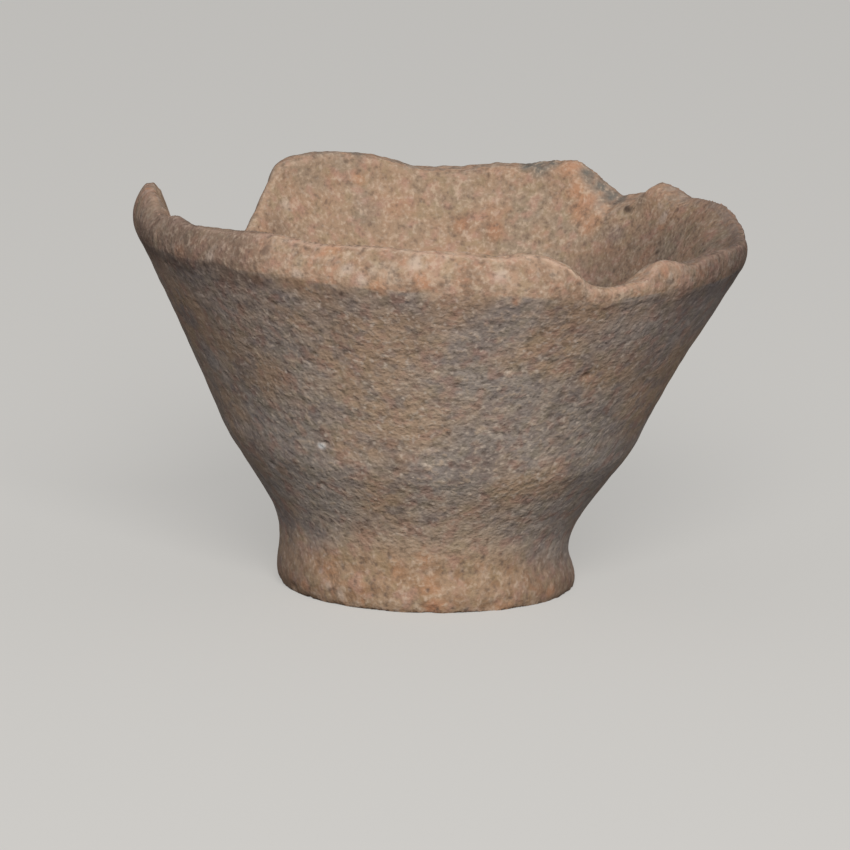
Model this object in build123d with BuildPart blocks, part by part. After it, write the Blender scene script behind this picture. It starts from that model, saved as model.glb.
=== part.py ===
"""Small hand-built earthenware drinking cup on a low foot, with a broken rim. Millimetres.

The cup is joined from five pieces of clay: a foot disc, a pinched bowl base, two wall coils and
a rim coil. All are round about one axis, which leans because the foot is cut off aslant.
The origin is the middle of the resting face, +Z is up, and the front of the cup faces -Y.
"""
from build123d import *
from math import radians, tan
import os

os.makedirs("parts", exist_ok=True)

# Stance
lean = 1.8  # degrees that the cup's own axis leans from upright, towards +X

# Outside of the cup, as radii and heights on its own axis
foot_radius = 18.5
foot_bulge_height = 1.5
foot_edge_round = 4.2
waist_radius = 18.0
waist_height = 4.4
stem_radius = 20.1
stem_height = 10.9
belly_radius = 25.2
belly_height = 18.2
cone_radius = 30.4
cone_height = 29.0
shoulder_radius = 38.6
shoulder_height = 44.2
shoulder_round = 4.5
rim_height = 5.4  # of the rim's edge above the shoulder
rim_inset = 2.5  # of the rim's edge inside the shoulder
rim_bulge = 0.65  # of the rim's outer face
rim_edge = 0.6  # thickness of the clay across the rim's edge
rim_edge_round = 0.25

# Inside of the cup: thickness of the wall, measured level, and the floor
belly_wall = 6.4
cone_wall = 5.2
shoulder_wall = 4.4
hollow_round = 12.0  # where the inside turns up into the rim
floor_height = 10.2

# Luted joins between the pieces of clay
dish_depth = 1.6  # of the hollow in the foot that the bowl base sits in
seam_rise = 2.0  # of a coil's join from the outside to the inside of the wall
seam_crown = 0.9
seam_reach = 1.0  # of a join past both faces of the wall
rim_seam_drop = 2.4  # of the rim coil's join below the shoulder

# Broken edge: azimuth from +X over the back, height of the break above the shoulder, its fall
# towards the inside, and its turn from radial. Angles are in degrees
back_break = [
    (0, 0.5, 35, 0), (6, 0.7, 35, 0), (12, 1.7, 32, 0), (18, 2.75, 27, 0), (28, 2.8, 22, 0),
    (32.5, 2.1, 20, 0), (40.5, 3.4, 16, 0), (45, 1.2, 26, 0), (52, -0.2, 30, 0), (57, 1.6, 30, 0),
    (62, 4.3, 24, 0),
    (66, 4.0, 24, 0), (72, 3.0, 12, 0), (80, 2.6, 4, 0), (85, 1.8, 2, 0), (95, 1.5, 2, 0),
    (104, 3.0, 2, 0), (112, 3.5, 0, 0), (118, 3.5, 0, -3), (122.5, 3.0, -3, -15),
    (125.5, 2.2, -10, -31), (126.5, 0.4, -12, -37), (129, -3.1, -12, -39),
    (131.7, -6.1, -12, -42), (140, -7.9, -6, -36), (152, -8.2, 0, -22), (166, -6.0, 8, -4),
    (174, -1.0, 20, 0), (178, 3.3, 25, 0), (180, 4.9, 30, 0),
]
front_break = [
    (180, 4.9, 30, 0), (187, 4.9, 45, 0), (198, 4.6, 50, 0), (204, 3.9, 45, 0), (208, 4.1, 35, 0),
    (212, 3.8, 25, 0), (220, 4.2, 15, 0), (245, 4.9, 8, 0), (262, 5.1, 8, 0), (272, 4.8, 8, 0),
    (281, 4.3, 8, 0), (287, 4.7, 8, 0), (290.5, 4.2, 10, 0), (296, 1.9, 15, 0), (299, 0.6, 20, 0),
    (305, 0.5, 25, 0), (310, 0.8, 28, 0), (315.5, 2.8, 25, 0), (325, 1.9, 26, 0), (345, 1.5, 32, 0),
    (360, 0.5, 35, 0),
]
break_inset = 2.0  # inside the shoulder, where the height of the break is measured
break_reach = 11.0  # of the cut for the break, inwards from there
break_clear = 5.0  # of that cut, outwards from there; twice as much above the rim

cup = Plane.XY.rotated((0, lean, 0))
cup_axis = Axis(cup.origin, cup.z_dir)
foot_cut_depth = foot_edge_round - foot_bulge_height


def radial_plane(azimuth):
    """Plane through the cup's axis: its x is the radius at this azimuth, its y the height."""
    outward = cup.x_dir.rotate(cup_axis, azimuth)
    return Plane(cup.origin, x_dir=outward, z_dir=outward.cross(cup.z_dir))


def break_plane(azimuth, turn):
    """Upright plane through the break at this azimuth, turned from radial."""
    outward = radial_plane(azimuth).x_dir
    across = outward.rotate(cup_axis, turn)
    place = cup.origin + outward * (shoulder_radius - break_inset)
    return Plane(place, x_dir=across, z_dir=across.cross(cup.z_dir))


def broken_away(break_line):
    """Clay that is lost above a stretch of the broken edge."""
    top = shoulder_height + rim_height + 2 * break_clear
    with BuildPart() as lost:
        for azimuth, height_above_shoulder, fall, turn in break_line:
            edge_height = shoulder_height + height_above_shoulder
            slope = tan(radians(fall))
            with BuildSketch(break_plane(azimuth, turn)):
                with BuildLine():
                    Polyline(
                        (-break_reach, edge_height - break_reach * slope),
                        (break_clear, edge_height + break_clear * slope),
                        (break_clear, top),
                        (-break_reach, top),
                        close=True,
                    )
                make_face()
        loft(ruled=True)
    return lost.part


def clay_below(seam_line):
    """Space below a join, whose line runs from the cup's axis to outside the wall."""
    bottom = -foot_cut_depth - seam_reach
    limit = shoulder_radius + 2 * seam_reach
    with BuildPart() as below:
        with BuildSketch(radial_plane(0)):
            with BuildLine():
                add(seam_line)
                Polyline(
                    seam_line @ 1,
                    (limit, (seam_line @ 1).Y),
                    (limit, bottom),
                    (0, bottom),
                    seam_line @ 0,
                )
            make_face()
        revolve(axis=cup_axis)
    return below.part


def coil_seam(radius, height, wall):
    """Line of a coil's join: it rises inwards through the wall, over the crown of the clay below."""
    inner_end = (radius - wall - seam_reach, height + seam_rise)
    outer_end = (radius + seam_reach, height)
    with BuildLine() as seam:
        Line((0, height + seam_rise), inner_end)
        SagittaArc(inner_end, outer_end, seam_crown)
    return seam.wire()


# Whole body of clay, as shaped and then broken, before it is parted at its joins
cone_slope = (shoulder_radius - cone_radius, shoulder_height - cone_height)
hollow_corner = (shoulder_radius - shoulder_wall, shoulder_height)
rim_top = shoulder_height + rim_height
rim_radius = shoulder_radius - rim_inset

with BuildPart() as clay_body:
    with BuildSketch(radial_plane(0)) as section:
        with BuildLine():
            Line((0, -foot_cut_depth), (foot_radius - foot_edge_round, -foot_cut_depth))
            CenterArc((foot_radius - foot_edge_round, foot_bulge_height), foot_edge_round, -90, 90)
            Spline(
                (foot_radius, foot_bulge_height),
                (waist_radius, waist_height),
                (stem_radius, stem_height),
                (belly_radius, belly_height),
                (cone_radius, cone_height),
                tangents=[(0, 1), cone_slope],
            )
            Line((cone_radius, cone_height), (shoulder_radius, shoulder_height))
            SagittaArc((shoulder_radius, shoulder_height), (rim_radius, rim_top), -rim_bulge)
            Line((rim_radius, rim_top), (rim_radius - rim_edge, rim_top))
            Line((rim_radius - rim_edge, rim_top), hollow_corner)
            Line(hollow_corner, (cone_radius - cone_wall, cone_height))
            Spline(
                (cone_radius - cone_wall, cone_height),
                (belly_radius - belly_wall, belly_height),
                (0, floor_height),
                tangents=[
                    (cone_radius - cone_wall - hollow_corner[0], cone_height - shoulder_height),
                    (-1, 0),
                ],
            )
            Line((0, floor_height), (0, -foot_cut_depth))
        make_face()
        corners = section.vertices()
        fillet(corners.sort_by(Axis.X)[-1], shoulder_round)
        fillet(corners.sort_by(Axis.Y)[-2:], rim_edge_round)
        fillet(corners.sort_by_distance(hollow_corner)[0], hollow_round)
    revolve(axis=cup_axis)
    split(bisect_by=Plane.XY, keep=Keep.TOP)
    add(broken_away(back_break), mode=Mode.SUBTRACT)
    add(broken_away(front_break), mode=Mode.SUBTRACT)

# Joins, from the foot up
with BuildLine() as dish_line:
    TangentArc(
        (0, waist_height - dish_depth), (waist_radius + seam_reach, waist_height), tangent=(1, 0)
    )
below_bowl = clay_below(dish_line.wire())
below_lower_coil = clay_below(coil_seam(belly_radius, belly_height, belly_wall))
below_upper_coil = clay_below(coil_seam(cone_radius, cone_height, cone_wall))
below_rim = clay_below(
    coil_seam(shoulder_radius, shoulder_height - rim_seam_drop, shoulder_wall)
)

# Foot: low disc with a splayed round edge, cut level underneath and dished on top
with BuildPart() as foot_disc:
    add(clay_body.part)
    add(below_bowl, mode=Mode.INTERSECT)
foot_disc.part.label = "foot_disc"
export_step(foot_disc.part, "parts/foot_disc.step")

# Bowl base: the floor and the swelling lower wall, seated in the foot's dish
with BuildPart() as bowl_base:
    add(clay_body.part)
    add(below_lower_coil, mode=Mode.INTERSECT)
    add(below_bowl, mode=Mode.SUBTRACT)
bowl_base.part.label = "bowl_base"
export_step(bowl_base.part, "parts/bowl_base.step")

# Lower wall coil: flaring ring that straddles the bowl base's edge
with BuildPart() as lower_wall_coil:
    add(clay_body.part)
    add(below_upper_coil, mode=Mode.INTERSECT)
    add(below_lower_coil, mode=Mode.SUBTRACT)
lower_wall_coil.part.label = "lower_wall_coil"
export_step(lower_wall_coil.part, "parts/lower_wall_coil.step")

# Upper wall coil: straight cone below the shoulder, notched where the sherd is lost
with BuildPart() as upper_wall_coil:
    add(clay_body.part)
    add(below_rim, mode=Mode.INTERSECT)
    add(below_upper_coil, mode=Mode.SUBTRACT)
upper_wall_coil.part.label = "upper_wall_coil"
export_step(upper_wall_coil.part, "parts/upper_wall_coil.step")

# Rim coil: rounded shoulder and bevelled rim, broken, and open where the sherd is lost
with BuildPart() as rim_coil:
    add(clay_body.part)
    add(below_rim, mode=Mode.SUBTRACT)
rim_coil.part.label = "rim_coil"
export_step(rim_coil.part, "parts/rim_coil.step")
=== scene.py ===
"""Looks of a small hand-built earthenware cup with a broken rim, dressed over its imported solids.

Metres, in the frame of the solids. One skin of clay is drawn over all the solids, worn and roughened,
and then parted at the joins, so that the joins stay hidden, as they are on the fired cup.
"""

import math

import bmesh
import bpy
import numpy as np
from mathutils import Matrix, Quaternion, Vector, noise


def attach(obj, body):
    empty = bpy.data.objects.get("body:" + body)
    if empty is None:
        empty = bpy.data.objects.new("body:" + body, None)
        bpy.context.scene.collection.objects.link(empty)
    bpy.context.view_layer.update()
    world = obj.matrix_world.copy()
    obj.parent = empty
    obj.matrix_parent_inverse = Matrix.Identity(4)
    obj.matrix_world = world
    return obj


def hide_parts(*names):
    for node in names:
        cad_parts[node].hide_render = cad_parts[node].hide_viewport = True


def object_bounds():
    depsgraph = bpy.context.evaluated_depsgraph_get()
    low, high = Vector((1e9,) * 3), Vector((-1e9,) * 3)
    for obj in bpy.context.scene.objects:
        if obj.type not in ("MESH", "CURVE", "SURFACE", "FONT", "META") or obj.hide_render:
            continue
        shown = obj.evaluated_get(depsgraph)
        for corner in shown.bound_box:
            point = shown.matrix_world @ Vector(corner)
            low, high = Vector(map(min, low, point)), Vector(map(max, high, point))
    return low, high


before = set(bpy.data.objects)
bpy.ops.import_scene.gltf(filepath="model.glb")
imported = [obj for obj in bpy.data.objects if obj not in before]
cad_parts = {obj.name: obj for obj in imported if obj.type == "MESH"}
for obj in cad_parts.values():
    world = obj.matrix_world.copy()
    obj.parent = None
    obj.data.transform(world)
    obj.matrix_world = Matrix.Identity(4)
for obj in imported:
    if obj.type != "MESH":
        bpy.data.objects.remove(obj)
cad_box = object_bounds()

MM = 0.001

# The cup's own axis leans towards +X. Heights and radii on that axis, in millimetres, as in the solids
LEAN = math.radians(1.8)
CUP_AXIS = Vector((math.sin(LEAN), 0, math.cos(LEAN)))
UPRIGHT = Matrix.Rotation(-LEAN, 3, "Y")
OUTER_PROFILE = [
    (-1.0, 17.7), (0.0, 18.2), (1.5, 18.5), (4.4, 18.0), (10.9, 20.1), (18.2, 25.2), (29.0, 30.4),
    (43.0, 37.9), (44.2, 38.4), (45.4, 38.5), (46.7, 38.1), (48.1, 37.4), (49.6, 36.1),
]
INNER_PROFILE = [
    (10.2, 0.0), (11.4, 9.0), (14.0, 14.6), (18.2, 18.8), (29.0, 25.2), (40.0, 31.6), (44.2, 33.9),
    (47.0, 34.8), (49.6, 35.5),
]
FLOOR_HEIGHT = 10.2
FLOOR_ROOM = 1  # below the floor, in which points still count as inside
BELLY_HEIGHT = 18.2
BREAK_LOW_HEIGHT = 33.0
THIN_RIM_HEIGHT = 48.0  # above it the wall is too thin to wear far

# Each lump of clay: its solid, and the heights of the joins below and above it
LUMPS = {
    "foot_clay": ("foot_disc", -9.0, 4.4),
    "bowl_clay": ("bowl_base", 4.4, 18.2),
    "lower_wall_clay": ("lower_wall_coil", 18.2, 29.0),
    "upper_wall_clay": ("upper_wall_coil", 29.0, 41.8),
    "rim_clay": ("rim_coil", 41.8, 60.0),
}

SKIN_STEP = 0.32 * MM  # between the points of the skin
WELD = 0.001 * MM
SHARP_ANGLE = math.radians(38)
BOX_ROOM = 0.02 * MM  # that the relief keeps inside the box of the solids

# Wear: the share of the way to their neighbours that points move in each round, and the rounds
WEAR = 0.5
SKIN_ROUNDS = 2
BREAK_ROUNDS = 12
BELLY_ROUNDS = 60
RIM_ROUNDS = 220
BLEND_ROUNDS = 4  # in which values spread over the skin
THIN_RIM_SPARED = 0.7  # share of the wear that the thin rim is spared

# Steps, in millimetres unless they say otherwise: where something starts, and where it is complete
INSIDE_STEP = (-0.4, 0.4)  # inwards from the middle of the wall
BREAK_STEP = (0.25, 0.7)  # into the wall from its faces
NEAR_BREAK_STEP = (0.02, 0.3)  # share of broken clay round a point
THIN_RIM_STEP = (THIN_RIM_HEIGHT - 2, THIN_RIM_HEIGHT)
BELLY_END_STEP = (1, 4)  # above and below the belly
ROUNDED_RIM_STEP = (0.9, 2.2)  # into the wall from outside
LIP_STEP = (THIN_RIM_HEIGHT - 2.5, THIN_RIM_HEIGHT)
LIP_FRONT_STEP = (10, 20)  # forwards from the cup's axis
LIP_END_STEP = (22, 28)  # from the cup's axis towards +X
BAND_STEP = (-1.0, 0.2)  # above the edge of the buff band round the rim
SIDES_END_STEP = (0.45, 1.0)  # forwards or backwards from the cup's axis, as a share of the radius
EDGE_STEP = (0.008, 0.04)  # that a point stands out from its neighbours
RESTING_STEP = (0.8, 0.95)  # how far a face looks down, 1 being straight down
FOOT_END_STEP = (4.0, 9.0)
FOOT_SHIFT_END_STEP = (1.0, 6.0)
FOOT_CHIPS_END_STEP = (0.5, 1.6)  # above the ground
FOOT_CHIP_STEP = (0.2, 0.5)  # of noise
EDGE_CHIP_STEP = (0.1, 0.5)  # of noise

# Relief, in millimetres
LIFT = 0.1  # of the whole skin
SWELLING = 0.12
DENTS = 0.08
WIPING = 0.05
FINE_WIPING = 0.02
GRAIN = 0.045
PIT_DEPTH = 0.2
BREAK_LIFT = 0.28
BREAK_LUMPS = 0.14
BREAK_GRAIN = 0.08
EDGE_CHIPS = 0.25
FOOT_CHIPS = 0.3
FOOT_SPREAD = 0.2
FOOT_LUMPS = 0.1
FOOT_GRAIN = 0.05
FOOT_SHIFT = 0.5  # towards +X
RESTING_GAP = 0.6  # above the ground, up to which faces that look down rest on it

PIT_CENTRE_SPREAD = 37.0  # puts the centres of neighbouring pits into different cells of noise
# How much of the wiping, in millimetres, and of the pits, from 0 to 1, shows in the colour
# beside the grain, from about -1 to 1, as painted light where the relief stands up and painted shade in
# its grooves and pits
WIPING_SHOWN = 4
PITS_SHOWN = 1.5

# Places on the clay have an azimuth from +X over the back, in degrees, a height on the cup's axis,
# and a depth in the wall, from 0 outside to 1 inside. Lengths are in millimetres
SHAPING = [  # azimuth, height, reach, move outwards, move upwards
    (180, 40, 8, -0.6, 0), (180, 23, 5, 0.25, 0), (0, 45.8, 3, -0.45, 0), (0, 38, 4, 0.2, 0),
    (0, 31, 6, -0.45, 0), (17, 48, 4, 0.1, 0.25), (186, 48.5, 5, 0.45, 0.05), (200.5, 48.5, 3, 0, -1.2),
    (214, 48.3, 5, 0, -0.6), (226, 49, 5, 0, -0.45), (246, 49.3, 5, 0, -0.65), (263, 49.3, 6, 0, -0.35),
    (197, 49, 2.2, 0, -0.7), (294.5, 47, 2.2, 0, 0.45), (303, 45, 4, 0, -0.7), (312.5, 45.8, 2.5, 0, -0.8),
    (324, 46.3, 3, 0, -0.5), (60, 47.5, 3, 0, 0.3), (36, 47, 3, 0, 0.2),
]
ROUNDED_RIM = (10, 43.5, 0.7)  # middle of a stretch of rim that runs smoothly into the inside
ROUNDED_RIM_END_STEP = (9, 15)  # away from that middle
BAND_EDGE = [  # azimuth, and height of the ragged line where the buff rim meets the grey wall
    (180, 43.6), (211, 44.0), (223, 44.9), (230, 44.3), (238, 44.7), (246, 44.7), (256, 44.4),
    (268, 44.5), (286, 44.1), (300, 43.6), (314, 44.1), (331, 43.6),
]
BAND_SHADE = [  # azimuth, and strength of the painted shadow under that line
    (180, 0.5), (200, 0.9), (244, 1.0), (256, 0.7), (266, 0.35), (290, 0.3), (314, 0.45), (331, 0.5),
    (350, 0.4),
]
FOOT_EDGE = [  # azimuth, and height up to which the foot is warm brown
    (192, 3.6), (224, 7.5), (242, 11.0), (256, 12.0), (268, 10.5), (284, 12.0), (298, 10.5), (318, 7.5),
    (353, 4.5),
]
PITS = [  # azimuth, height, depth in the wall, radius, hollow
    (305, 32.7, 0, 0.8, 0.35), (241.5, 22, 0, 0.5, 0.3), (242, 33.1, 0, 0.5, 0.1),
    (44.5, 44.3, 1, 0.6, 0.5), (79, 46.3, 1, 0.4, 0.3),
]
MARKS = {  # azimuth, height, depth in the wall, radius and, unless it is 1, strength of each mark
    # Brown marks: small ones are darker clay; broad soft ones are painted shade on the band's left, under
    # the shoulder, on the belly and at the sides
    "umber_and_painted_shade": [
        (226, 46.5, 0, 7, 0.95), (212, 46.5, 0, 7), (198, 45.5, 0, 6), (202, 2, 0, 7, 0.5),
        (340, 2, 0, 6, 0.6), (322, 3, 0, 5, 0.4), (217, 39.5, 0, 6, 0.35), (322, 39.5, 0, 6, 0.35),
        (262, 21, 0, 5, 0.3), (281, 21.5, 0, 5, 0.3), (250, 40.5, 0, 5, 0.35), (264, 41, 0, 5, 0.35),
        (279, 41, 0, 5, 0.3), (236, 39.5, 0, 5, 0.3), (294, 41, 0, 5, 0.3), (228, 35, 0, 9, 0.3),
        (230, 28, 0, 8, 0.3), (232, 21, 0, 7, 0.2), (312, 35, 0, 9, 0.3), (310, 28, 0, 8, 0.3),
        (235.6, 47.4, 0, 1.0), (42.5, 45.8, 0.9, 1.5), (85, 40, 1, 1.8), (77.5, 39.2, 1, 2.0),
        (131, 39.5, 1, 2.4, 0.6),
    ],
    "orange": [
        (273, 1, 0, 1.6, 1.8), (216, 1, 0, 0.9), (326, 2, 0, 1.0), (270, 8.8, 0, 0.9), (270, 6.9, 0, 1.4),
        (247, 10, 0, 2.4, 0.4), (260, 23, 0, 1.1, 0.6), (263, 21, 0, 1.3, 0.6), (236, 27, 0, 2.0, 0.35),
        (233, 30, 0, 2.6, 0.35), (284, 43.7, 0, 0.8), (327, 45.6, 0, 0.9, 0.5), (316, 46.6, 0, 1.2, 0.5),
        (259, 44.7, 0, 1.3), (267, 45.9, 0, 1.4), (214, 44.7, 0, 1.6, 0.6), (249, 48.7, 0, 1.6),
        (187.5, 48.6, 0, 1.7, 1.6), (305, 32.5, 0, 1.2, 0.25), (273.5, 25.2, 0, 0.7),
        (62.4, 47.8, 0.8, 1.8), (60, 45.4, 1, 1.7), (56.8, 44.4, 1, 1.7), (57.3, 43, 1, 2.0),
        (53.3, 41.9, 1, 2.0), (76.5, 39.4, 1, 1.8), (85, 40, 1, 1.5), (108, 45.2, 1, 1.5),
        (7.4, 45, 0.8, 0.8), (33, 43.5, 1, 0.8),
    ],
    "pale": [
        (256, 45.3, 0, 1.0), (253, 46.8, 0, 1.1), (265.3, 48, 0, 1.1), (259, 0, 0, 0.6),
        # The broad faint mark at azimuth 268, height 30, is a painted pool of light on the front of the
        # wall
        (268, 30, 0, 12, 0.15), (225, 3.4, 0, 0.6), (230, 2, 0, 0.7), (236, 1, 0, 0.7),
        (127, 42.4, 1, 1.1), (77.2, 45.2, 1, 0.5), (188, 48.5, 0, 1.2), (35.8, 45.4, 1, 0.9),
        (33.7, 44.5, 1, 0.9), (281, 46.6, 0, 1.0), (223, 45.6, 0, 0.9), (243, 45.4, 0, 0.9),
    ],
    "cool": [
        (286, 21.4, 0, 2.3), (279, 19.4, 0, 2.5), (261, 13.3, 0, 2.0), (221, 30.3, 0, 2.5),
        (252.7, 38.4, 0, 1.3), (254, 41.2, 0, 1.2), (318, 6.7, 0, 2.0), (205, 7.3, 0, 2.0),
        (107, 41.3, 1, 2.6, 0.5), (281, 22, 0, 1.6), (46, 41.2, 1, 2.0), (225, 9, 0, 2.6),
        (215, 20, 0, 3.0), (231, 40, 0, 1.8),
    ],
    "dark": [
        (222, 44.2, 0, 0.7, 0.5), (274, 25, 0, 0.5), (282, 40.4, 0, 0.4), (274, 36.5, 0, 0.4),
        (252, 43.4, 0, 0.5), (240, 33, 0, 0.4), (241.7, 22.1, 0, 0.4), (29.7, 40.6, 1, 0.6),
        (45.5, 44.1, 0.9, 0.7), (13.5, 43.7, 1, 0.6, 0.7), (5.5, 43.2, 1, 0.6, 0.7), (80, 46.3, 1, 0.35),
        (288, 34.5, 0, 0.5), (305, 32.9, 0, 0.5, 0.6), (44.8, 44.4, 1, 0.65),
    ],
    "white": [(240.3, 21.4, 0, 0.66)],
    # Painted shade over the right of the band and the inside behind it
    "right_painted_shade": [
        (38, 35.5, 1, 11, 0.9), (30, 39, 1, 11, 0.9), (20, 42, 1, 11, 0.7), (8, 44.5, 0.9, 9, 0.8),
        (330, 45.5, 0, 7, 0.6), (345, 46, 0.1, 7, 0.9), (358, 46, 0.3, 7, 0.9),
    ],
    "grey": [
        (69, 47.4, 0.7, 1.8), (72, 47.3, 0.5, 1.6), (66.5, 47.8, 0.6, 1.2), (59, 46.6, 0.5, 1.3),
        (56.6, 45.6, 0.4, 1.5), (53.7, 44.7, 0.4, 1.7), (50.6, 44.1, 0.4, 1.5), (98, 46.2, 0.5, 1.4, 0.5),
        (117, 48, 0.5, 1.6, 0.5), (108, 47.5, 0.5, 1.5, 0.5),
    ],
}
MARK_CORE = 0.3  # share of a mark's radius within which it has its full strength
MARK_END = 1.15  # share of its radius at which it has faded
MARK_STRAY = 0.5  # of a mark's outline, which makes it uneven

# Studio, in metres, with the lens and its sensor in millimetres
GROUND_SIZE = 6.0
LAMP_SIZE = 0.7
LAMP_POWER = 12.4
LAMP_COLOUR = (1.0, 0.985, 0.965)
LAMP_RISE = math.radians(30)
LAMP_ASIDE = math.radians(4)
LAMP_DISTANCE = 1.3
LAMP_AIM = Vector((0, 0, 0.03))
SKY_STRENGTH = 0.4
CAMERA_RISE = math.radians(12.0)
CAMERA_ROLL = math.radians(1.2)
CAMERA_DISTANCE = 1.05
CAMERA_AIM = Vector((0, -1.03, 20.15)) * MM
LENS = 354.4
SENSOR_WIDTH = 36.0


def joined_clay():
    """Mesh of even small faces round all the solids."""
    solids = bmesh.new()
    for solid, low, high in LUMPS.values():
        solids.from_mesh(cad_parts[solid].data)
    bmesh.ops.remove_doubles(solids, verts=solids.verts, dist=WELD)
    mesh = bpy.data.meshes.new("joined_clay")
    solids.to_mesh(mesh)
    solids.free()
    clay = bpy.data.objects.new("joined_clay", mesh)
    bpy.context.scene.collection.objects.link(clay)
    even = clay.modifiers.new("even_faces", "REMESH")
    even.mode = "VOXEL"
    even.voxel_size = SKIN_STEP
    worn = clay.modifiers.new("worn_edges", "SMOOTH")
    worn.factor = WEAR
    worn.iterations = SKIN_ROUNDS
    skin = bpy.data.meshes.new_from_object(clay.evaluated_get(bpy.context.evaluated_depsgraph_get()))
    bpy.data.objects.remove(clay)
    bpy.data.meshes.remove(mesh)
    return skin


def kept_on(items, name, width, kind=np.float64):
    """What Blender keeps under this name for each of the items, as rows of numbers."""
    values = np.empty(len(items) * width, dtype=kind)
    items.foreach_get(name, values)
    return values.reshape(-1, width)


def neighbour_means(values, edges):
    """Mean of the values at each point's neighbours. Values are rows, one for each point."""
    here = np.concatenate((edges[:, 0], edges[:, 1]))
    there = np.concatenate((edges[:, 1], edges[:, 0]))
    sums = [np.bincount(here, column[there], len(values)) for column in values.T]
    return np.array(sums).T / np.bincount(here, minlength=len(values))[:, None]


def blended(values, edges):
    """The values, spread over the skin in a few rounds."""
    for turn in range(BLEND_ROUNDS):
        values = neighbour_means(values, edges)
    return values


def smoothed(points, edges, share, rounds):
    """The points after some rounds of moving by this share towards their neighbours."""
    rows = np.unique(edges[(share[edges] > 0).any(axis=1)])
    place_of = np.zeros(len(points), dtype=np.int64)
    place_of[rows] = np.arange(len(rows))
    links = place_of[edges[np.isin(edges, rows).all(axis=1)]]
    part, share = points[rows], share[rows, None]
    for turn in range(rounds):
        part = part + share * (neighbour_means(part, links) - part)
    points = points.copy()
    points[rows] = part
    return points


def stepped(values, low, high):
    """0 below low, 1 above high, and a smooth step between them."""
    share = np.clip((values - low) / (high - low), 0, 1)
    return share * share * (3 - 2 * share)


def along(line, azimuth):
    """The second value of a line round the cup, at these azimuths."""
    return np.interp(azimuth, *zip(*line), period=360)


def noise_at(places, size, seed):
    """Smooth noise from about -1 to 1, whose bumps have this size, at places in millimetres."""
    return np.array([noise.noise(place) for place in (places / np.array(size) + seed).tolist()])


def small_pits(places, spacing, radius, share, seed):
    """Round hollows from 0 to 1 deep, one in a share of the cells of this spacing."""
    depth = np.zeros(len(places))
    for row, place in enumerate((places / spacing + seed).tolist()):
        distances, centres = noise.voronoi(place)
        if noise.cell(centres[0] * PIT_CENTRE_SPREAD) < 2 * share - 1:
            depth[row] = max(0.0, 1 - (distances[0] * spacing / radius) ** 2)
    return depth


def wall_radii(height):
    """Radii of the outside and the inside of the wall at a height."""
    return np.interp(height, *zip(*OUTER_PROFILE)), np.interp(height, *zip(*INNER_PROFILE))


def distance_to(places, azimuth, height, depth):
    """Distance of the places from one on the clay."""
    outer, inner = wall_radii(height)
    radius = outer + (inner - outer) * depth
    turn = math.radians(azimuth)
    middle = np.array((radius * math.cos(turn), radius * math.sin(turn), height))
    return np.linalg.norm(places - middle, axis=1)


class Skin:
    """The points of the skin, with what is known about each."""

    def __init__(self, mesh):
        self.mesh = mesh
        self.edges = kept_on(mesh.edges, "vertices", 2, np.int32)
        self.look()
        outer, inner = wall_radii(self.height)
        above_floor = self.height > FLOOR_HEIGHT - FLOOR_ROOM
        self.inside = stepped((outer + inner) / 2 - self.radius, *INSIDE_STEP) * above_floor
        self.depth = np.minimum(outer - self.radius, self.radius - inner)
        self.broken = stepped(self.depth, *BREAK_STEP) * (self.height > BREAK_LOW_HEIGHT)

    def look(self):
        """Reads where the points are, also upright in millimetres, and which way they face."""
        self.points = kept_on(self.mesh.vertices, "co", 3)
        self.normals = kept_on(self.mesh.vertex_normals, "vector", 3)
        self.places = self.points / MM @ np.array(UPRIGHT).T
        self.height = self.places[:, 2]
        self.radius = np.hypot(self.places[:, 0], self.places[:, 1])

    def move(self, points):
        """Puts the points elsewhere."""
        self.mesh.vertices.foreach_set("co", points.ravel())
        self.mesh.update()
        self.look()

    def keep(self, name, values):
        """Keeps a value at each point, for the material."""
        kept = self.mesh.attributes.new(name, "FLOAT", "POINT")
        kept.data.foreach_set("value", values.astype(np.float32))


def wear(skin):
    """Rounds the edges of the breaks, the line of the belly and a stretch of the rim."""
    near_break = stepped(blended(skin.broken[:, None], skin.edges)[:, 0], *NEAR_BREAK_STEP)
    thick = 1 - THIN_RIM_SPARED * stepped(skin.height, *THIN_RIM_STEP)
    points = smoothed(skin.points, skin.edges, WEAR * near_break * thick, BREAK_ROUNDS)

    belly = (1 - stepped(abs(skin.height - BELLY_HEIGHT), *BELLY_END_STEP)) * (1 - skin.inside)
    points = smoothed(points, skin.edges, WEAR * belly, BELLY_ROUNDS)

    near_rim = 1 - stepped(distance_to(skin.places, *ROUNDED_RIM), *ROUNDED_RIM_END_STEP)
    rounded = near_rim * stepped(wall_radii(skin.height)[0] - skin.radius, *ROUNDED_RIM_STEP)
    skin.broken = skin.broken * (1 - rounded)
    skin.inside = np.maximum(skin.inside, rounded)
    skin.move(smoothed(points, skin.edges, WEAR * rounded, RIM_ROUNDS))


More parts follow.
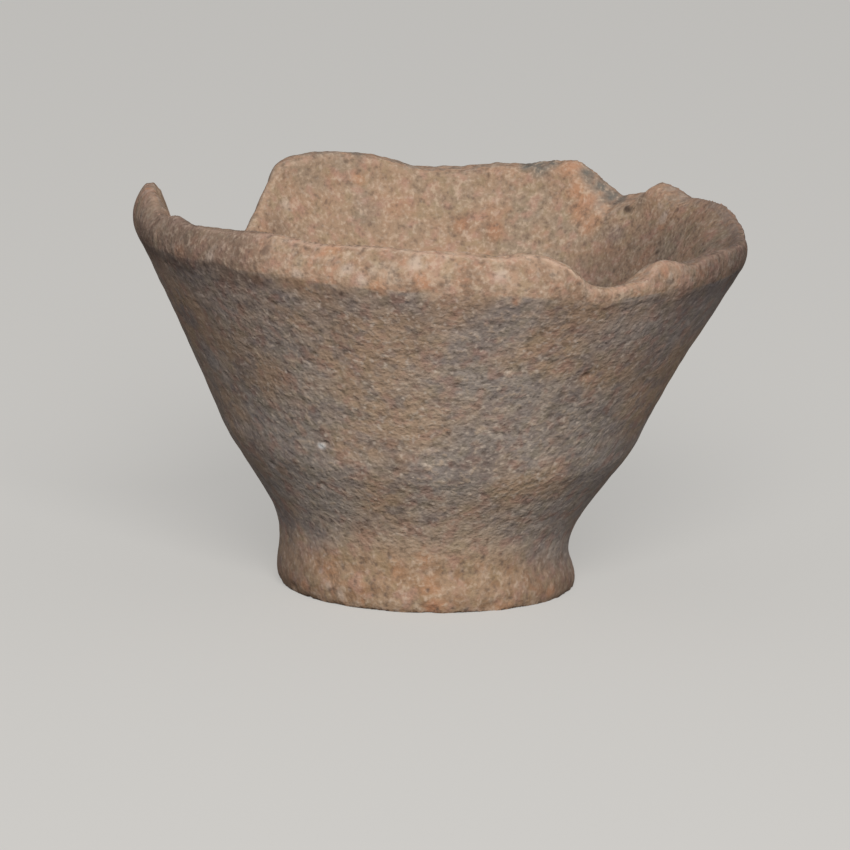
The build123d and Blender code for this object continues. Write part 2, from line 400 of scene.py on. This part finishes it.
def zones_on(skin):
    """What tells the material, and the relief, where on the cup each point is."""
    across, back = skin.places[:, 0], skin.places[:, 1]
    azimuth = np.degrees(np.arctan2(back, across))
    above_band = skin.height - along(BAND_EDGE, azimuth)
    outside = (1 - skin.inside) * (1 - skin.broken)
    proud = ((skin.points - neighbour_means(skin.points, skin.edges)) * skin.normals).sum(axis=1) / MM
    edge = stepped(neighbour_means(proud[:, None], skin.edges)[:, 0], *EDGE_STEP)
    front = stepped(-back, *LIP_FRONT_STEP) * (1 - stepped(across, *LIP_END_STEP))
    return {
        "inside": skin.inside,
        "broken": skin.depth * skin.broken,
        "edge": edge,
        # The front of the rim's top edge, worn and given a painted highlight
        "lip": edge * stepped(skin.height, *LIP_STEP) * front,
        "wall": outside * (1 - stepped(above_band, *BAND_STEP)),
        # The sides, left and right of the front: smoother grain there, and painted shade with a cool tint
        # as of fill light
        "smooth_sides_and_painted_shade": 1 - stepped(abs(back) / skin.radius.clip(1), *SIDES_END_STEP),
        "above_band": above_band,
        "above_foot": skin.height - along(FOOT_EDGE, azimuth),
        "band_shade": along(BAND_SHADE, azimuth),
    }


def tints_on(places):
    """How strong each tint is at the places, from its marks."""
    stray = np.array([noise_at(places, size=1.8, seed=seed) for seed in (2.5, 5.1, 8.4)]).T
    strayed = places + MARK_STRAY * stray
    tints = {}
    for tint, marks in MARKS.items():
        tints[tint] = np.zeros(len(places))
        for azimuth, height, depth, radius, *strength in marks:
            distance = distance_to(strayed, azimuth, height, depth)
            near = 1 - stepped(distance, MARK_CORE * radius, MARK_END * radius)
            tints[tint] = np.maximum(tints[tint], near * (strength or [1])[0])
    return tints


def relief_on(skin, zones):
    """The height of the clay's relief at each point, in millimetres, and a share for painted light where
    it stands up and painted shade in its pits.
    """
    places = skin.places
    wall, smooth_sides_and_painted_shade = zones["wall"], zones["smooth_sides_and_painted_shade"]
    sandy = (0.7 + 0.3 * wall) * (1 - 0.45 * smooth_sides_and_painted_shade)
    streaky = 0.2 + 0.8 * wall
    lumpy = 1 - 0.5 * smooth_sides_and_painted_shade
    low_down = 1 - stepped(skin.height, *FOOT_END_STEP)
    near_ground = 1 - stepped(skin.points[:, 2] / MM, *FOOT_CHIPS_END_STEP)

    relief = LIFT + SWELLING * noise_at(places, size=13.0, seed=3.1)
    relief += DENTS * noise_at(places, size=5.0, seed=7.7)
    wiping = WIPING * noise_at(places, size=(9.0, 9.0, 1.8), seed=1.3)
    wiping += FINE_WIPING * noise_at(places, size=(3.0, 3.0, 1.1), seed=5.9)
    grain = noise_at(places, size=1.15, seed=2.2)
    coarse = noise_at(places, size=2.0, seed=4.6)
    pits = small_pits(places, spacing=3.2, radius=0.65, share=0.22, seed=6.3)
    relief += GRAIN * grain * sandy + wiping * streaky - PIT_DEPTH * pits
    relief += skin.broken * (BREAK_LIFT + BREAK_LUMPS * coarse * lumpy + BREAK_GRAIN * grain)
    relief += low_down * (FOOT_SPREAD + (FOOT_LUMPS * coarse + FOOT_GRAIN * grain) * lumpy)

    edge_chips = stepped(noise_at(places, size=2.6, seed=9.2), *EDGE_CHIP_STEP)
    foot_chips = stepped(noise_at(places, size=2.4, seed=11.4), *FOOT_CHIP_STEP)
    relief -= EDGE_CHIPS * zones["edge"] * edge_chips
    relief -= FOOT_CHIPS * near_ground * foot_chips
    for azimuth, height, depth, radius, hollow in PITS:
        share = np.clip(1 - (distance_to(places, azimuth, height, depth) / radius) ** 2, 0, 1)
        relief -= hollow * share
        pits = np.maximum(pits, share)
    return relief, grain + WIPING_SHOWN * wiping * wall - PITS_SHOWN * pits


def roughen(skin):
    """Gives the skin the clay's relief and uneven shape, and keeps on it what the material reads."""
    zones = zones_on(skin)
    relief, relief_light_and_shade = relief_on(skin, zones)
    for name, values in {**zones, "relief_light_and_shade": relief_light_and_shade, **tints_on(skin.places)}.items():
        skin.keep(name, values)

    near_ground = skin.points[:, 2] / MM < RESTING_GAP
    rests = stepped(-skin.normals[:, 2], *RESTING_STEP) * near_ground
    facing = blended(skin.normals, skin.edges)
    points = skin.points + facing * (relief * (1 - rests))[:, None] * MM
    outward = skin.places * (1, 1, 0) / skin.radius[:, None].clip(1) @ np.array(UPRIGHT)
    for azimuth, height, reach, out, up in SHAPING:
        share = np.exp(-((distance_to(skin.places, azimuth, height, 0) / reach) ** 2))[:, None] * MM
        points += share * (out * outward + up * np.array(CUP_AXIS)) * (1 - rests)[:, None]
    points[:, 0] += FOOT_SHIFT * (1 - stepped(skin.height, *FOOT_SHIFT_END_STEP)) * MM
    low = np.array(cad_box[0]) + (BOX_ROOM, BOX_ROOM, 0)
    high = np.array(cad_box[1]) - BOX_ROOM
    skin.move(np.clip(points, low, high))


def closed_lump(clay, low, high):
    """The clay between two heights on the cup's axis, closed at its joins."""
    lump = clay.copy()
    others = [
        face for face in lump.faces
        if not low * MM < face.calc_center_median().dot(CUP_AXIS) < high * MM
    ]
    bmesh.ops.delete(lump, geom=others, context="FACES")
    middle = (low + high) / 2 * MM
    open_edges = [edge for edge in lump.edges if edge.is_boundary]
    lower = [edge for edge in open_edges if edge.verts[0].co.dot(CUP_AXIS) < middle]
    upper = [edge for edge in open_edges if edge.verts[0].co.dot(CUP_AXIS) > middle]
    for join in (lower, upper):
        bmesh.ops.triangle_fill(lump, edges=join, normal=CUP_AXIS)
    bmesh.ops.recalc_face_normals(lump, faces=lump.faces)
    for face in lump.faces:
        face.smooth = True
    for edge in lump.edges:
        edge.smooth = edge.calc_face_angle(0) < SHARP_ANGLE
    return lump


def part_at_joins(skin):
    """The closed lumps of clay that the skin is parted into."""
    clay = bmesh.new()
    clay.from_mesh(skin.mesh)
    for solid, low, high in list(LUMPS.values())[1:]:
        bmesh.ops.bisect_plane(
            clay, geom=clay.verts[:] + clay.edges[:] + clay.faces[:], dist=WELD,
            plane_co=CUP_AXIS * low * MM, plane_no=CUP_AXIS,
        )
    lumps = {}
    for name, (solid, low, high) in LUMPS.items():
        lump = closed_lump(clay, low, high)
        mesh = bpy.data.meshes.new(name)
        lump.to_mesh(mesh)
        lump.free()
        lumps[name] = bpy.data.objects.new(name, mesh)
        bpy.context.scene.collection.objects.link(lumps[name])
    clay.free()
    return lumps


class Amount:
    """A number that varies over a surface. Arithmetic on it adds Math nodes to its recipe."""

    def __init__(self, recipe, socket):
        self.recipe = recipe
        self.socket = socket

    def worked(self, operation, first, second):
        node = self.recipe.node("ShaderNodeMath", {"operation": operation}, {0: first, 1: second})
        return Amount(self.recipe, node.outputs[0])

    def __add__(self, other):
        return self.worked("ADD", self, other)

    def __radd__(self, other):
        return self.worked("ADD", other, self)

    def __sub__(self, other):
        return self.worked("SUBTRACT", self, other)

    def __rsub__(self, other):
        return self.worked("SUBTRACT", other, self)

    def __mul__(self, other):
        return self.worked("MULTIPLY", self, other)

    def __rmul__(self, other):
        return self.worked("MULTIPLY", other, self)

    def step(self, low, high):
        """0 below low, 1 above high, and a smooth step between them."""
        node = self.recipe.node(
            "ShaderNodeMapRange", {"interpolation_type": "SMOOTHSTEP"},
            {"Value": self, "From Min": low, "From Max": high},
        )
        return Amount(self.recipe, node.outputs["Result"])


# Inputs and output of a Mix node that mixes colours
MIX_SHARE, MIX_FIRST, MIX_SECOND = 0, 6, 7
MIX_RESULT = 2


class Recipe:
    """A material, mixed from nodes."""

    def __init__(self, name):
        self.material = bpy.data.materials.new(name)
        self.material.use_nodes = True
        self.tree = self.material.node_tree
        self.tree.nodes.clear()

    def node(self, kind, settings=None, sockets=None):
        """Adds a node, sets its settings, and then gives its sockets their values or links."""
        node = self.tree.nodes.new(kind)
        for name, value in (settings or {}).items():
            setattr(node, name, value)
        for name, value in (sockets or {}).items():
            if isinstance(value, Amount):
                value = value.socket
            if isinstance(value, bpy.types.NodeSocket):
                self.tree.links.new(value, node.inputs[name])
            else:
                node.inputs[name].default_value = value
        return node

    def kept(self, name):
        """What the skin keeps at its points under this name."""
        return Amount(self, self.node("ShaderNodeAttribute", {"attribute_name": name}).outputs["Fac"])

    def stretched(self, place, scale):
        """A place, scaled along each direction."""
        return self.node(
            "ShaderNodeVectorMath", {"operation": "MULTIPLY"}, {0: place, 1: scale}
        ).outputs["Vector"]

    def moved(self, place, shift):
        """A place further on by this much, where the same noise looks different."""
        return self.node(
            "ShaderNodeVectorMath", {"operation": "ADD"}, {0: place, 1: (shift, shift, shift)}
        ).outputs["Vector"]

    def mottle(self, place, size, detail=2.0, roughness=0.55):
        """Cloudy noise from 0 to 1, with clouds of this size."""
        node = self.node(
            "ShaderNodeTexNoise", None,
            {"Vector": place, "Scale": 1 / size, "Detail": detail, "Roughness": roughness},
        )
        return Amount(self, node.outputs["Fac"])

    def mixed(self, share, first, second, blend="MIX"):
        """Colour that goes from the first to the second with this share."""
        node = self.node(
            "ShaderNodeMix", {"data_type": "RGBA", "blend_type": blend},
            {MIX_SHARE: share, MIX_FIRST: first, MIX_SECOND: second},
        )
        return node.outputs[MIX_RESULT]

    def darkened(self, share, colour, shade_colour):
        """Colour that another darkens by multiplying, with this share; used here to paint shade."""
        return self.mixed(share, colour, shade_colour, blend="MULTIPLY")

    def finished(self, shader):
        """The material, with this shader on its surface."""
        self.node("ShaderNodeOutputMaterial", None, {"Surface": shader.outputs[0]})
        return self.material


def rgb(red, green, blue):
    """Colour for a socket from the 0 to 255 values of a screen."""
    def light(value):
        share = value / 255
        return share / 12.92 if share <= 0.04045 else ((share + 0.055) / 1.055) ** 2.4
    return light(red), light(green), light(blue), 1.0


# Colours of the clay
WALL_BUFF = rgb(205, 174, 146)
WALL_GREY = rgb(187, 174, 163)
WALL_DUSKY = rgb(164, 148, 141)
WALL_BLUISH = rgb(152, 141, 137)
FOOT_TAN = rgb(179, 149, 122)
FOOT_BROWN = rgb(163, 130, 102)
FOOT_ORANGE = rgb(188, 142, 109)
FOOT_PALE = rgb(210, 183, 157)
RIM_BUFF = rgb(190, 158, 133)
RIM_BROWN = rgb(164, 134, 111)
RIM_ORANGE = rgb(196, 149, 122)
RIM_PALE = rgb(208, 186, 164)
INSIDE_TAN = rgb(178, 149, 124)
INSIDE_GREY = rgb(168, 147, 126)
INSIDE_ORANGE = rgb(186, 145, 118)
INSIDE_DUSKY = rgb(158, 140, 120)
PINKISH = rgb(192, 150, 132)
OLIVE = rgb(164, 150, 116)
BREAK_BUFF = rgb(192, 156, 130)
BREAK_GREY = rgb(172, 150, 132)
WORN_EDGE = rgb(210, 174, 150)
WORN_LIP_AND_HIGHLIGHT = rgb(236, 200, 176)
LIGHT_SAND = rgb(216, 192, 168)
DARK_SAND = rgb(114, 96, 84)
LIGHT_FLECK = rgb(228, 210, 192)
DARK_HOLLOW = rgb(104, 87, 76)
DARK_SPOT = rgb(70, 57, 50)
WHITE_CHIP = rgb(250, 248, 244)
PATCHES = {  # strength and colour of the marks that lie under the sand
    # The brown marks are partly darker clay, partly painted shade
    "umber_and_painted_shade": (0.75, rgb(116, 99, 88)),
    "orange": (0.7, rgb(202, 148, 114)),
    "pale": (0.7, rgb(216, 196, 180)),
    "cool": (0.6, rgb(138, 125, 120)),
    "grey": (1.0, rgb(116, 115, 109)),
}

# Painted shadow and shade, as colours that darken by multiplying: the shares of red, green and blue that
# they leave
UNDER_RIM_SHADOW = (0.62, 0.58, 0.55, 1.0)
UPPER_WALL_SHADE = (0.94, 0.92, 0.93, 1.0)
SIDE_SHADE_COOL_FILL = (0.91, 0.925, 0.97, 1.0)
RIGHT_SHADE = (0.55, 0.56, 0.6, 1.0)

# Colours of the studio
GROUND_BOUNCE = rgb(80, 79, 78)  # of the light that it throws back up
GROUND_PAINT = rgb(214, 212, 208)
GROUND_GLOW = rgb(222, 220, 216)
GROUND_GLOW_SHARE = 0.5
SKY = rgb(222, 222, 224)


class FiredClay(Recipe):
    """Unglazed sandy earthenware: grey-brown wall with wiping streaks, buff rim and inside, grey core
    where broken.
    """

    def __init__(self):
        super().__init__("fired_clay")
        found = self.node("ShaderNodeTexCoord").outputs["Object"]
        place = self.node(
            "ShaderNodeMapping", None,
            {"Vector": found, "Rotation": (0, -LEAN, 0), "Scale": (1 / MM, 1 / MM, 1 / MM)},
        ).outputs["Vector"]
        self.height = Amount(self, self.node("ShaderNodeSeparateXYZ", None, {0: place}).outputs["Z"])
        self.add_patterns(place)
        self.add_zones()

    def add_patterns(self, place):
        """Noise that the colours and the bumps follow. Sizes are in millimetres."""
        self.clouds = self.mottle(place, size=12.0)
        self.blotches = self.mottle(place, size=4.0)
        self.spots = self.mottle(place, size=1.6)
        self.pinkish, self.olive, self.bluish = (
            self.mottle(self.moved(place, shift), size=2.0, detail=1.5) for shift in (31.0, 57.0, 83.0)
        )
        self.grain = self.mottle(place, size=0.95, detail=1.5, roughness=0.5)
        self.streaks = self.mottle(self.stretched(place, (0.3, 0.3, 2.0)), size=1.0, detail=1.0)
        self.flecks, self.hollows = (
            self.mottle(self.moved(place, shift), size=0.7, detail=1.0) for shift in (17.0, 43.0)
        )
        self.specks = self.mottle(place, size=0.42, detail=1.0)

    def add_zones(self):
        """Shares that say where on the cup a point is."""
        self.inside = self.kept("inside")
        self.wall = self.kept("wall")
        self.smooth_sides_and_painted_shade = self.kept("smooth_sides_and_painted_shade")
        above_band = self.kept("above_band")
        ragged = (self.blotches - 0.5) * 2.4 + (self.spots - 0.5) * 1.8
        self.rim = (above_band + ragged * 0.22).step(-0.25, 0.25)
        # Painted shadow in a strip under the rim's shoulder, below the buff band
        self.under_rim_shadow = above_band.step(-3.0, -0.4) * (1 - self.rim) * (1 - self.inside)
        self.foot = 1 - (self.kept("above_foot") + ragged * 1.8).step(-4.0, 2.5)
        self.bare_wall = self.wall * (1 - self.foot)
        self.patchy = 0.35 + self.spots * 0.9

    def wall_tone(self):
        tone = self.mixed(self.clouds.step(0.38, 0.62), WALL_BUFF, WALL_GREY)
        tone = self.mixed(self.blotches.step(0.5, 0.68) * 0.7, tone, WALL_DUSKY)
        return self.mixed(self.bluish.step(0.5, 0.68) * 0.6, tone, WALL_BLUISH)

    def foot_tone(self):
        tone = self.mixed(self.spots.step(0.42, 0.6), FOOT_TAN, FOOT_BROWN)
        tone = self.mixed(self.blotches.step(0.48, 0.66) * 0.7, tone, FOOT_ORANGE)
        return self.mixed(self.height.step(5.0, 10.0), tone, FOOT_PALE)

    def rim_tone(self):
        tone = self.mixed(self.blotches.step(0.4, 0.62), RIM_BUFF, RIM_BROWN)
        tone = self.mixed(self.spots.step(0.5, 0.68) * 0.65, tone, RIM_ORANGE)
        return self.mixed((1 - self.spots).step(0.52, 0.7) * 0.6, tone, RIM_PALE)

    def inside_tone(self):
        tone = self.mixed(self.clouds.step(0.4, 0.62), INSIDE_TAN, INSIDE_GREY)
        tone = self.mixed(self.blotches.step(0.5, 0.7) * 0.6, tone, INSIDE_ORANGE)
        return self.mixed((1 - self.blotches).step(0.52, 0.7) * 0.5, tone, INSIDE_DUSKY)

    def body_tone(self):
        """Colour of the clay in all the cup's zones."""
        tone = self.mixed(self.foot, self.wall_tone(), self.foot_tone())
        tone = self.mixed(self.rim, tone, self.rim_tone())
        tone = self.mixed(self.inside, tone, self.inside_tone())
        tone = self.mixed(self.pinkish.step(0.5, 0.68) * 0.55, tone, PINKISH)
        return self.mixed(self.olive.step(0.5, 0.68) * 0.28, tone, OLIVE)

    def with_breaks(self, tone):
        """The colour, with that of broken clay, of worn edges, and of the front lip, lighter with wear and
        a painted highlight.
        """
        broken_tone = self.mixed(self.spots.step(0.4, 0.6), BREAK_BUFF, BREAK_GREY)
        tone = self.mixed(self.kept("broken").step(0.2, 0.6) * 0.8, tone, broken_tone)
        tone = self.mixed(self.kept("edge") * 0.5, tone, WORN_EDGE)
        return self.mixed(self.kept("lip") * 0.85, tone, WORN_LIP_AND_HIGHLIGHT)

    def with_patches(self, tone):
        """The colour, with the marks that lie under the sand."""
        for tint, (strength, colour) in PATCHES.items():
            tone = self.mixed(self.kept(tint) * self.patchy * strength, tone, colour)
        return tone

    def with_sand(self, tone):
        """The colour, with light and dark sand, flecks and hollows, of which the sides of the wall show
        less, and a little painted light and shade that follow the relief.
        """
        sand = (self.grain - 0.5) * 1.1 + (self.spots - 0.5) * 0.5
        sand = sand + (self.specks - 0.5) * (0.8 - self.wall * 0.35)
        # Painted light where the grain and wiping stand up, painted shade in the grooves and pits
        sand = sand + self.kept("relief_light_and_shade") * 0.05 + (self.streaks - 0.5) * self.bare_wall * 0.35
        plain = 1 - self.smooth_sides_and_painted_shade * self.wall * 0.3
        calm = 1 - self.smooth_sides_and_painted_shade * (1 - self.inside) * 0.35
        rough = (0.62 + self.wall * 0.25) * plain
        light = sand.step(0.0, 0.4) * rough * calm * (1 - self.foot * 0.1)
        dark = (0 - sand).step(0.0, 0.45) * rough * (1 - self.bare_wall * 0.35)
        flecks = self.flecks.step(0.52, 0.8) * (0.25 + self.bare_wall * 0.6) * calm
        hollows = self.hollows.step(0.54, 0.8) * 0.22 * plain
        tone = self.mixed(light, tone, LIGHT_SAND)
        tone = self.mixed(dark, tone, DARK_SAND)
        tone = self.mixed(flecks, tone, LIGHT_FLECK)
        return self.mixed(hollows, tone, DARK_HOLLOW)

    def with_spots(self, tone):
        """The colour, with the small marks that lie on top of the sand."""
        tone = self.mixed(self.kept("dark") * self.patchy, tone, DARK_SPOT)
        return self.mixed(self.kept("white"), tone, WHITE_CHIP)

    def with_painted_shade(self, tone):
        """The colour, with a painted shadow under the rim, and painted shade on the upper wall, at the
        sides with a cool tint, and on the right of the band and inside there.
        """
        tone = self.darkened(self.under_rim_shadow * self.kept("band_shade"), tone, UNDER_RIM_SHADOW)
        # Painted shade, darker towards the top of the wall under the rim
        tone = self.darkened(self.height.step(28.0, 42.0) * self.bare_wall, tone, UPPER_WALL_SHADE)
        # Painted shade at the sides, tinted cool as by fill light
        tone = self.darkened(self.smooth_sides_and_painted_shade * (1 - self.inside), tone, SIDE_SHADE_COOL_FILL)
        # Painted shade on the right of the band and inside there
        return self.darkened(self.kept("right_painted_shade"), tone, RIGHT_SHADE)

    def fired(self):
        """The material, with its colour, its roughness and its fine bumps."""
        tone = self.with_patches(self.with_breaks(self.body_tone()))
        tone = self.with_painted_shade(self.with_spots(self.with_sand(tone)))
        bumps = (self.grain - 0.5) * 0.24 + (self.specks - 0.5) * 0.1
        bumps = bumps * (1 - self.smooth_sides_and_painted_shade * self.wall * 0.4)
        bump = self.node("ShaderNodeBump", None, {"Height": bumps, "Distance": MM, "Strength": 1.0})
        shader = self.node(
            "ShaderNodeBsdfPrincipled", None,
            {
                "Base Color": tone, "Roughness": 0.92 - 0.08 * self.grain, "Normal": bump.outputs[0],
                "Specular IOR Level": 0.25,
            },
        )
        return self.finished(shader)


def pale_floor():
    """Floor that looks pale, keeps the cup's shadow, and throws little light back up."""
    paint = Recipe("pale_floor")
    rays = paint.node("ShaderNodeLightPath")
    seen = Amount(paint, rays.outputs["Is Camera Ray"]) + Amount(paint, rays.outputs["Is Glossy Ray"])
    seen = seen + Amount(paint, rays.outputs["Is Transmission Ray"])
    tone = paint.mixed(seen, GROUND_BOUNCE, GROUND_PAINT)
    matt = paint.node("ShaderNodeBsdfDiffuse", None, {"Color": tone})
    glow = paint.node("ShaderNodeEmission", None, {"Color": GROUND_GLOW})
    sheet = paint.node(
        "ShaderNodeMixShader", None,
        {0: seen * GROUND_GLOW_SHARE, 1: matt.outputs[0], 2: glow.outputs[0]},
    )
    return paint.finished(sheet)


def lay_floor():
    """Lays a pale sheet under the cup."""
    sheet = bmesh.new()
    bmesh.ops.create_grid(sheet, x_segments=1, y_segments=1, size=GROUND_SIZE)
    mesh = bpy.data.meshes.new("floor")
    sheet.to_mesh(mesh)
    sheet.free()
    mesh.materials.append(pale_floor())
    floor = bpy.data.objects.new("floor", mesh)
    bpy.context.scene.collection.objects.link(floor)


def light_studio():
    """One broad soft lamp above the camera, and a low even light from all round."""
    key = bpy.data.lights.new("key_lamp", "AREA")
    key.shape = "DISK"
    key.size = LAMP_SIZE
    key.energy = LAMP_POWER
    key.color = LAMP_COLOUR
    lamp = bpy.data.objects.new("key_lamp", key)
    aside = Matrix.Rotation(LAMP_ASIDE, 3, "Z")
    toward = aside @ Vector((0, -math.cos(LAMP_RISE), math.sin(LAMP_RISE)))
    lamp.location = toward * LAMP_DISTANCE + LAMP_AIM
    lamp.rotation_euler = toward.to_track_quat("Z", "Y").to_euler()
    bpy.context.scene.collection.objects.link(lamp)

    world = bpy.data.worlds.new("studio")
    world.use_nodes = True
    bpy.context.scene.world = world
    nodes = world.node_tree.nodes
    nodes["Background"].inputs["Color"].default_value = SKY
    nodes["Background"].inputs["Strength"].default_value = SKY_STRENGTH


def set_camera():
    """Long lens, a little above the cup, as in the photograph."""
    back = Vector((0, -math.cos(CAMERA_RISE), math.sin(CAMERA_RISE)))
    lens = bpy.data.cameras.new("camera")
    lens.lens = LENS
    lens.sensor_width = SENSOR_WIDTH
    camera = bpy.data.objects.new("camera", lens)
    camera.location = CAMERA_AIM + back * CAMERA_DISTANCE
    turn = back.to_track_quat("Z", "Y") @ Quaternion((0, 0, 1), CAMERA_ROLL)
    camera.rotation_euler = turn.to_euler()
    bpy.context.scene.collection.objects.link(camera)
    bpy.context.scene.camera = camera


skin = Skin(joined_clay())
wear(skin)
roughen(skin)
lumps = part_at_joins(skin)
bpy.data.meshes.remove(skin.mesh)
fired_clay = FiredClay().fired()
for name, lump in lumps.items():
    lump.data.materials.append(fired_clay)
    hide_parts(LUMPS[name][0])
    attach(lump, "root")

lay_floor()
light_studio()
set_camera()
bpy.context.scene.view_settings.view_transform = "Standard"
